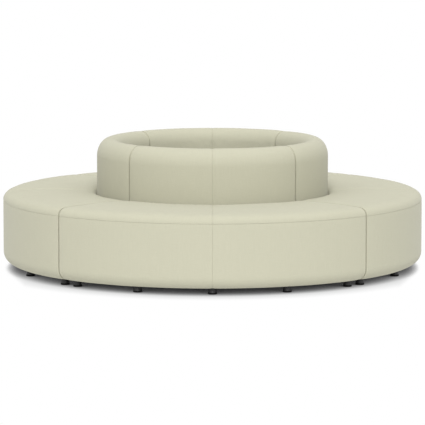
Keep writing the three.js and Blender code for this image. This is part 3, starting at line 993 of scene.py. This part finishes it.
seat_hidden = np.array([
    (seat_inside, pad_base),
    (outer_radius - APRON_FOAM, pad_base),
    (outer_radius - APRON_FOAM, edge_seam),
])
seat_length = lengths_along(seat_cover)[-1]
upholster(
    "seat",
    "seat_cushion",
    seat_cover,
    seat_hidden,
    seams=[0],
    sewn=[(0, 2 * SEAM_LIP), (seat_length - 2 * SEAM_LIP, seat_length)],
    swell=SEAT_SWELL,
    ripple=SEAT_RIPPLE,
    unrolled=seat_inside,
)

# Seam threads: the seams are plain ones, closed with a strong spun thread. It shows only as a
# short bar across the groove at each stitch, round under the seat's edge and up each middle seam.
STITCH = 0.0032
THREAD_RADIUS = 0.00035
BAR_LENGTH = 0.0024
BAR_SINK = 0.0003
THREAD_SINK = 0.0011
BAR_STEPS = 2
BAR_SIDES = 5
EDGE_SEAM_POINTS = 181
THREAD_DARK = (0.34, 0.33, 0.25, 1)
THREAD_LIGHT = (0.39, 0.38, 0.29, 1)
THREAD_TWIST_SCALE = 3000.0
THREAD_ROUGHNESS = 0.7


def thread_finish(name):
    """Twisted polyester thread, a shade darker than the cloth."""
    material, tree = new_finish(name)
    twist = mottle(tree, object_place(tree), THREAD_TWIST_SCALE)
    end_finish(tree, mixed(tree, twist, THREAD_DARK, THREAD_LIGHT), THREAD_ROUGHNESS)
    return material


def spaced_along(tree, path, spacing):
    """Places along a path, and which way it runs at each."""
    inputs = {"Curve": path, "Length": spacing}
    points = add_node(tree, "GeometryNodeCurveToPoints", inputs, mode="LENGTH").outputs
    return points["Points"], points["Tangent"]


def aligned(tree, first, second, axes):
    """The turn that brings two axes, such as XY, to these two directions."""
    ways = {"primary_axis": axes[0], "secondary_axis": axes[1]}
    inputs = {"Primary Axis": first, "Secondary Axis": second}
    return add_node(tree, "FunctionNodeAxesToRotation", inputs, **ways).outputs[0]


sizes = dict.fromkeys(["Stitch", "Radius", "Bar Length", "Sink"], "Float") | {"Across": "Vector"}
tree, seam = new_tree("seam_thread", sizes)
stitches, way = spaced_along(tree, seam["Places"], seam["Stitch"])
reach = half_of(tree, seam["Bar Length"])
bar_ends = {
    "Resolution": BAR_STEPS,
    "Start": vector(tree, minus(tree, reach), 0, 0),
    "Middle": vector(tree, 0, 0, seam["Sink"]),
    "End": vector(tree, reach, 0, 0),
}
bowed = add_node(tree, "GeometryNodeCurveQuadraticBezier", bar_ends)
bar = rod(tree, bowed.outputs[0], circle(tree, seam["Radius"], BAR_SIDES), capped=True)
set_out(tree, seam, stitches, bar, aligned(tree, seam["Across"], way, "XY"))


def new_lines(name, lines):
    """A curve object with a straight-jointed line through each list of points."""
    curve = bpy.data.curves.new(name, "CURVE")
    curve.dimensions = "3D"
    for line in lines:
        spline = curve.splines.new("POLY")
        spline.points.add(len(line) - 1)
        spline.points.foreach_set("co", np.column_stack([line, np.ones(len(line))]).ravel())
    piece = bpy.data.objects.new(name, curve)
    bpy.context.scene.collection.objects.link(piece)
    return piece


seam_span = QUARTER / 2 - (MODULE_GAP / 2 + END_EDGE) / outer_radius
round_angles = np.linspace(-seam_span, seam_span, EDGE_SEAM_POINTS)
groove_radius = outer_radius - EDGE_SEAM_DRAW - THREAD_SINK
near_end = np.exp(-(((seam_span - np.abs(round_angles)) * outer_radius / END_DRAW_REACH) ** 2))
near_middle = np.exp(-((round_angles * outer_radius / SEAM_DRAW_REACH) ** 2))
groove_radius = groove_radius - END_DRAW * near_end - SEAM_DRAW * near_middle
thread = thread_finish("seam_thread")
for order, side in enumerate(MODULES):
    turn = order * QUARTER
    round_line = on_module(groove_radius, turn + round_angles, edge_seam - CLEARANCE / 2)
    middle_lines = []
    for cover in (apron_cover, seat_cover, back_cover):
        sunk = cover[:, :2] - (SEAM_DRAW + THREAD_SINK) * cover[:, 2:]
        middle_lines.append(on_module(sunk[:, 0], turn, sunk[:, 1]))
    across_middle = (-math.cos(turn), -math.sin(turn), 0)
    for name, lines, across in [
        (f"{side}_edge_seam_thread", [round_line], (0, 0, 1)),
        (f"{side}_middle_seam_thread", middle_lines, across_middle),
    ]:
        piece = grown(
            name,
            new_lines("seam_line", lines),
            tree,
            stitch=STITCH,
            radius=THREAD_RADIUS,
            bar_length=BAR_LENGTH,
            sink=BAR_SINK,
            across=across,
            material=thread,
        )
        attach(piece, "sofa")

# End cloths: plain fabric stretched over each end of a module's frame and stapled round it, where
# the next module hides it. The pads' own closed ends finish the rest of the joint.
END_CLOTH = 0.0012
END_CLOTH_SETBACK = 0.0085
END_CLOTH_INSET = 0.0005
base_outer = apron_roll_centre[0] - END_CLOTH_INSET
rail_outer = rail_radius - END_CLOTH_INSET
end_outline = np.array([
    (frame_inside + END_CLOTH_INSET + CLEARANCE, underside + CLEARANCE),
    (base_outer, underside + CLEARANCE),
    (base_outer, board_top + END_CLOTH_INSET),
    (rail_outer, apron_roll_centre[1] + END_CLOTH_INSET),
    (rail_outer, deck_top - END_CLOTH_INSET),
    (frame_outside - END_CLOTH_INSET, deck_top - END_CLOTH_INSET),
    (frame_outside - END_CLOTH_INSET, frame_over - END_CLOTH_INSET),
    (frame_inside + END_CLOTH_INSET + CLEARANCE, frame_over - END_CLOTH_INSET),
])
end_faces = grid_faces(2, len(end_outline))
for order, side in enumerate(MODULES):
    for hand, name in [(1, "right"), (-1, "left")]:
        layers = []
        for setback in (END_CLOTH_SETBACK, END_CLOTH_SETBACK + END_CLOTH):
            angles = hand * (QUARTER / 2 - np.arcsin(setback / end_outline[:, 0]))
            layers.append(on_module(end_outline[:, 0], order * QUARTER + angles, end_outline[:, 1]))
        cloth = new_piece(f"{side}_{name}_end_cloth", np.vstack(layers), end_faces)
        finish_in_cloth(cloth, np.vstack([end_outline, end_outline])[corners_of(cloth)])
        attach(cloth, "sofa")

# Dust covers: black spunbond cambric under each base board, with its hem turned in and stapled.
# It is pierced for the glide stems, and hangs a little slack between the staples.
CAMBRIC_THICKNESS = 0.0004
CAMBRIC_INSET = 0.002
CAMBRIC_HEM = 0.022
CAMBRIC_HEM_RISE = 0.0004
CAMBRIC_HEM_STEP = 0.002
CAMBRIC_SAG = 0.0022
CAMBRIC_SAG_WAVES = 0.25
CAMBRIC_SAG_SEED = 3
CAMBRIC_SAG_START = 3 * CAMBRIC_HEM
CAMBRIC_SAG_REACH = 4 * CAMBRIC_HEM
CAMBRIC_SETBACK = 0.010
BORDER_STEPS = (96, 48)
HEM_LINE_STEPS = (90, 46)
STEM_HOLE = 0.0058
STEM_HOLE_SIDES = 12
STEM_HOLE_CORE = 0.9
MESH_STEP = 0.016
SAME_PLACE = 1e-6
CAMBRIC_DARK = (0.012, 0.012, 0.013, 1)
CAMBRIC_LIGHT = (0.035, 0.035, 0.036, 1)
CAMBRIC_DOTS = 2600
CAMBRIC_FIBRES = (300, 900, 300)
CAMBRIC_RELIEF = (0.5, 0.0002)
CAMBRIC_ROUGHNESS = 0.92


def cambric_finish(name):
    """Spunbond cloth: dull black, with rows of small pressed dots and clouded fibres."""
    material, tree = new_finish(name)
    place = object_place(tree)
    fibres = mottle(tree, stretched(tree, place, CAMBRIC_FIBRES), 1.0)
    grain = calculate(tree, "MULTIPLY_ADD", crossed(tree, place, CAMBRIC_DOTS), 0.5, fibres)
    colour = mixed(tree, fibres, CAMBRIC_DARK, CAMBRIC_LIGHT)
    end_finish(tree, colour, CAMBRIC_ROUGHNESS, grain, CAMBRIC_RELIEF)
    return material


dust_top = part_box("front_dust_cover")[1].z
cambric_inner = frame_inside + CLEARANCE
cambric_outer = apron_roll_centre[0] - CAMBRIC_INSET


def edge_at(radius, setback, steps, hand=1):
    """Places in plan round a module at a radius, between setbacks from its two joints."""
    reach = QUARTER / 2 - math.asin(setback / radius)
    return on_module(radius, hand * np.linspace(-reach, reach, steps + 1), 0)[:, :2]


def ring_of(centre, radius, sides):
    turn = np.arange(sides) * 2 * math.pi / sides
    return np.array(centre) + radius * np.column_stack([np.cos(turn), np.sin(turn)])


def dist_to_edges(points):
    """How far inside the dust cover each place in plan is."""
    radius = np.hypot(points[:, 0], points[:, 1])
    angle = np.arctan2(points[:, 0], -points[:, 1])
    from_joint = radius * np.sin(QUARTER / 2 - np.abs(angle)) - CAMBRIC_SETBACK
    return np.minimum.reduce([radius - cambric_inner, cambric_outer - radius, from_joint])


front_stems = [(at.x, at.y) for node, at in glide_places.items() if node.startswith("front_")]


def clear_of_stems(points, distance):
    """Whether each place in plan is further than this from every stem."""
    return np.all([np.hypot(*(points - stem).T) > distance for stem in front_stems], axis=0)


def ring_in_plan(steps, inset=0.0):
    """Places round the dust cover, this far inside its edge, in steps for its two long sides."""
    setback = CAMBRIC_SETBACK + inset
    outer = edge_at(cambric_outer - inset, setback, steps[0])
    return np.vstack([outer, edge_at(cambric_inner + inset, setback, steps[1], -1)])


def turned_in_plan(x, y, turn):
    """A place in plan, turned about the ring's middle or a piece's own."""
    return x * math.cos(turn) - y * math.sin(turn), x * math.sin(turn) + y * math.cos(turn)


loops = [ring_in_plan(BORDER_STEPS)]
loops += [ring_of(stem, STEM_HOLE, STEM_HOLE_SIDES) for stem in front_stems]
hem_line = ring_in_plan(HEM_LINE_STEPS, CAMBRIC_HEM)
columns, rows = np.meshgrid(np.arange(-1, 1, MESH_STEP), np.arange(-cambric_outer, 0, MESH_STEP))
grid = np.stack([columns, rows], axis=-1).reshape(-1, 2)
inside = (dist_to_edges(grid) > MESH_STEP / 2) & clear_of_stems(grid, STEM_HOLE + MESH_STEP / 3)
edges = []
start = 0
for loop in loops:
    edges += [(start + k, start + (k + 1) % len(loop)) for k in range(len(loop))]
    start += len(loop)
points = np.vstack([*loops, hem_line, grid[inside]]).tolist()
places, _, triangles, *_ = delaunay_2d_cdt(points, edges, [], 1, SAME_PLACE)
places = np.array([tuple(p) for p in places])
middles = places[np.array(triangles)].mean(axis=1)
kept = (dist_to_edges(middles) > 0) & clear_of_stems(middles, STEM_HOLE * STEM_HOLE_CORE)
triangles = [list(triangle) for triangle, keep in zip(triangles, kept) if keep]
inward = dist_to_edges(places)
slack = np.clip((inward - CAMBRIC_SAG_START) / CAMBRIC_SAG_REACH, 0, 1)
slack = slack * slack * (3 - 2 * slack)
draws = np.random.default_rng(CAMBRIC_SAG_SEED)
waves = ripples(places[:, 0], places[:, 1], CAMBRIC_SAG_WAVES, draws)
on_hem = np.clip((CAMBRIC_HEM + CAMBRIC_HEM_STEP / 2 - inward) / CAMBRIC_HEM_STEP, 0, 1)
levels = dust_top - CAMBRIC_THICKNESS - CAMBRIC_SAG * slack * (1 + waves) - CAMBRIC_HEM_RISE * on_hem
flat_area = QUARTER / 2 * (cambric_outer**2 - cambric_inner**2)
flat_area -= 2 * CAMBRIC_SETBACK * (cambric_outer - cambric_inner)
cambric = cambric_finish("black_cambric")
for order, side in enumerate(MODULES):
    x, y = turned_in_plan(places[:, 0], places[:, 1], order * QUARTER)
    dust_cover = new_piece(f"{side}_cambric", np.column_stack([x, y, levels]), triangles)
    wall = dust_cover.modifiers.new("thickness", "SOLIDIFY")
    wall.thickness = CAMBRIC_THICKNESS
    wall.offset = 0
    dust_cover.data.materials.append(cambric)
    for face in dust_cover.data.polygons:
        face.use_smooth = True
    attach(dust_cover, "sofa")
    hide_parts(f"{side}_dust_cover")

# Staples: galvanised steel wire, driven up through the cambric's hem into the base board by hand,
# so no two stand quite alike. Only their crowns show.
STAPLE_SPACING = 0.055
STAPLE_CROWN = 0.0115
STAPLE_LEG = 0.006
STAPLE_WIRE = 0.00045
STAPLE_BEND = 0.0007
STAPLE_INSET = 0.011
STAPLE_SKEW = 0.18
STAPLE_SEED = 7
STAPLE_BEND_POINTS = 2
STAPLE_SIDES = 6
ROUND_ROW_POINTS = 121
END_ROW_POINTS = 31
sizes = dict.fromkeys(["Spacing", "Crown", "Leg", "Wire", "Bend", "Skew"], "Float")
tree, row = new_tree("staple_row", sizes)
row_places, way = spaced_along(tree, row["Places"], row["Spacing"])
skew_range = {2: minus(tree, row["Skew"]), 3: row["Skew"], "Seed": STAPLE_SEED}
skew = add_node(tree, "FunctionNodeRandomValue", skew_range, data_type="FLOAT")
about_z = {"Axis": (0, 0, 1), "Angle": skew.outputs[1]}
spin = add_node(tree, "FunctionNodeAxisAngleToRotation", about_z)
in_line = aligned(tree, (0, 0, 1), way, "ZY")
facing = add_node(tree, "FunctionNodeRotateRotation", {0: in_line, 1: spin.outputs[0]})
outline = {0: oblong(tree, row["Leg"], row["Crown"]), "Cyclic": False}
three_sides = add_node(tree, "GeometryNodeSetSplineCyclic", outline).outputs[0]
corners = {"Count": STAPLE_BEND_POINTS, "Radius": row["Bend"], "Limit Radius": True}
bent = add_node(tree, "GeometryNodeFilletCurve", {"Curve": three_sides} | corners, mode="POLY")
staple = rod(tree, bent.outputs[0], circle(tree, row["Wire"], STAPLE_SIDES), capped=True)
staple = raised(tree, staple, half_of(tree, row["Leg"]), rotation=(0, -QUARTER, 0))
set_out(tree, row, row_places, staple, facing.outputs[0])

hem_level = dust_top - CAMBRIC_THICKNESS * 1.5 - CAMBRIC_HEM_RISE - STAPLE_WIRE / 2
setback = CAMBRIC_SETBACK + STAPLE_INSET
inner_row, outer_row = cambric_inner + STAPLE_INSET, cambric_outer - STAPLE_INSET
for order, side in enumerate(MODULES):
    turn = order * QUARTER
    lines = []
    for radius in (outer_row, inner_row):
        reach = QUARTER / 2 - math.asin(setback / radius)
        angles = np.linspace(-reach, reach, ROUND_ROW_POINTS)
        lines.append(on_module(radius, turn + angles, hem_level))
    for hand in (-1, 1):
        radii = np.linspace(inner_row, outer_row, END_ROW_POINTS)[1:-1]
        beside = hand * (QUARTER / 2 - np.arcsin(setback / radii))
        lines.append(on_module(radii, turn + beside, hem_level))
    staples = grown(
        f"{side}_staples",
        new_lines("staple_line", lines),
        tree,
        spacing=STAPLE_SPACING,
        crown=STAPLE_CROWN,
        leg=STAPLE_LEG,
        wire=STAPLE_WIRE,
        bend=STAPLE_BEND,
        skew=STAPLE_SKEW,
        material=zinc,
    )
    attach(staples, "sofa")

# Ganging plates: flat zinc-plated steel across each joint between modules, under the base boards.
# Each is held by four pan-head wood screws with a cross recess.
PLATE_LENGTH = 0.140
PLATE_WIDTH = 0.050
SCREW_INSET = 0.014
SCREW_HEAD = 0.0046
SCREW_HEAD_HEIGHT = 0.0026
SCREW_HEAD_SIDES = 24
SCREW_SHANK = 0.0021
SCREW_SHANK_SIDES = 16
SCREW_LENGTH = 0.018
RECESS_WIDTH = 0.0011
RECESS_SPAN = 0.0048
plates = [f"{side}_to_{MODULES[(order + 1) % 4]}_gang_plate" for order, side in enumerate(MODULES)]
for plate in plates:
    refinish(plate, zinc)

sizes = ["Head", "Head Height", "Shank", "Length", "Recess Width", "Recess Span"]
tree, screw = new_tree("pan_head_screws", dict.fromkeys(sizes, "Float"))
ball_size = {"Segments": SCREW_HEAD_SIDES, "Rings": SCREW_HEAD_SIDES // 2, "Radius": screw["Head"]}
ball = add_node(tree, "GeometryNodeMeshUVSphere", ball_size)
squashed = vector(tree, 1, 1, calculate(tree, "DIVIDE", screw["Head Height"], screw["Head"]))
head = add_node(tree, "GeometryNodeTransform", {"Geometry": ball.outputs[0], "Scale": squashed})
block = calculate(tree, "MULTIPLY", screw["Head"], 3.0)
upper = add_node(tree, "GeometryNodeMeshCube", {"Size": vector(tree, block, block, block)})
cutters = [raised(tree, upper.outputs[0], half_of(tree, block))]
for long_way, short_way in [("Recess Span", "Recess Width"), ("Recess Width", "Recess Span")]:
    slot_size = vector(tree, screw[long_way], screw[short_way], screw["Head Height"])
    slot = add_node(tree, "GeometryNodeMeshCube", {"Size": slot_size})
    cutters.append(raised(tree, slot.outputs[0], minus(tree, screw["Head Height"])))
head = add_node(tree, "GeometryNodeMeshBoolean", {0: head.outputs[0]}, operation="DIFFERENCE")
for cutter in cutters:
    tree.links.new(cutter, head.inputs[1])
shank_size = {"Vertices": SCREW_SHANK_SIDES, "Radius": screw["Shank"], "Depth": screw["Length"]}
shank = add_node(tree, "GeometryNodeMeshCylinder", shank_size)
driven = raised(tree, shank.outputs[0], half_of(tree, screw["Length"]))
set_out(tree, screw, screw["Places"], joined(tree, head.outputs[0], driven))

screw_places = []
for order, plate in enumerate(plates):
    lo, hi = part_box(plate)
    centre = (lo + hi) / 2
    for x in (PLATE_LENGTH / 2 - SCREW_INSET, SCREW_INSET - PLATE_LENGTH / 2):
        for y in (PLATE_WIDTH / 2 - SCREW_INSET, SCREW_INSET - PLATE_WIDTH / 2):
            east, north = turned_in_plan(x, y, (order + 0.5) * QUARTER)
            screw_places.append((centre.x + east, centre.y + north, lo.z))
screws = grown(
    "ganging_screws",
    new_piece("screw_places", screw_places, []),
    tree,
    head=SCREW_HEAD,
    head_height=SCREW_HEAD_HEIGHT,
    shank=SCREW_SHANK,
    length=SCREW_LENGTH,
    recess_width=RECESS_WIDTH,
    recess_span=RECESS_SPAN,
    material=zinc,
)
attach(screws, "sofa")

lo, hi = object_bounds()
